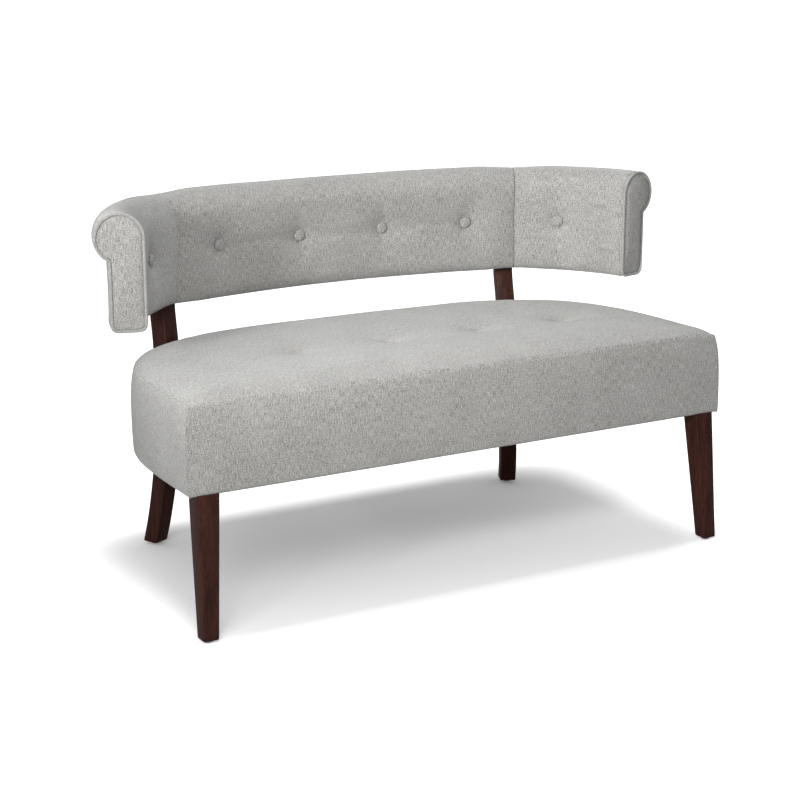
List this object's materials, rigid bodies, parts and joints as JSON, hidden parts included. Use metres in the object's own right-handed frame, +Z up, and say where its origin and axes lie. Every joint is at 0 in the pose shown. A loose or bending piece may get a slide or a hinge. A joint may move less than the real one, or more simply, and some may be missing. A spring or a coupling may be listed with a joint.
{
  "type": "settee",
  "caption": "Upholstered bench settee: D-shaped padded seat on dark tapered legs, and a low curved back with a rolled top edge and buttons, held clear of the seat on two rear posts.",
  "frame": {"origin": "On the floor, under the middle of the overall outline.", "axes": "+X along the seat towards the sitter's left hand side when seated, seen at the right of the picture; the front faces -Y; +Z is up."},
  "size_m": [1.3072, 0.6634, 0.753],
  "materials": {
    "fabric": "light grey woven chenille, matt",
    "piping": "the same cloth cut as piping, matt",
    "foam": "upholstery foam",
    "dust_cloth": "thin black lining cloth",
    "dark_wood": "dark espresso stain, satin lacquer",
    "frame_wood": "plain sawn hardwood",
    "plywood": "plain plywood",
    "steel": "zinc plated"
  },
  "bodies": {
    "root": {"arm_end_board_left": "plywood", "arm_end_board_right": "plywood", "arm_face_left": "fabric", "arm_face_right": "fabric", "arm_welt_left": "piping", "arm_welt_right": "piping", "back_foam": "foam", "back_lower_rail": "frame_wood", "back_upper_rail": "frame_wood", "back_upright": "frame_wood", "button_1": "fabric", "button_2": "fabric", "button_3": "fabric", "button_4": "fabric", "button_5": "fabric", "button_6": "fabric", "corner_block_left": "frame_wood", "corner_block_right": "frame_wood", "dust_cover": "dust_cloth", "front_leg_left": "dark_wood", "front_leg_right": "dark_wood", "front_rail": "frame_wood", "glide_front_left": "steel", "glide_front_right": "steel", "glide_rear_left": "steel", "glide_rear_right": "steel", "hanger_bolt_left": "steel", "hanger_bolt_right": "steel", "inside_back_cover": "fabric", "inside_wing_cover_left": "fabric", "inside_wing_cover_right": "fabric", "outside_back_cover": "fabric", "post_bolt_left_lower": "steel", "post_bolt_left_upper": "steel", "post_bolt_right_lower": "steel", "post_bolt_right_upper": "steel", "rear_leg_left": "dark_wood", "rear_leg_right": "dark_wood", "rear_rail": "frame_wood", "seat_brace_left": "frame_wood", "seat_brace_right": "frame_wood", "seat_deck": "plywood", "seat_foam": "foam", "seat_front_cover": "fabric", "seat_side_cover": "fabric", "seat_top_cover": "fabric", "side_rail_left": "frame_wood", "side_rail_right": "frame_wood", "wing_foam_left": "foam", "wing_foam_right": "foam", "wing_lower_rail_left": "frame_wood", "wing_lower_rail_right": "frame_wood", "wing_upper_rail_left": "frame_wood", "wing_upper_rail_right": "frame_wood"}
  },
  "joints": []
}
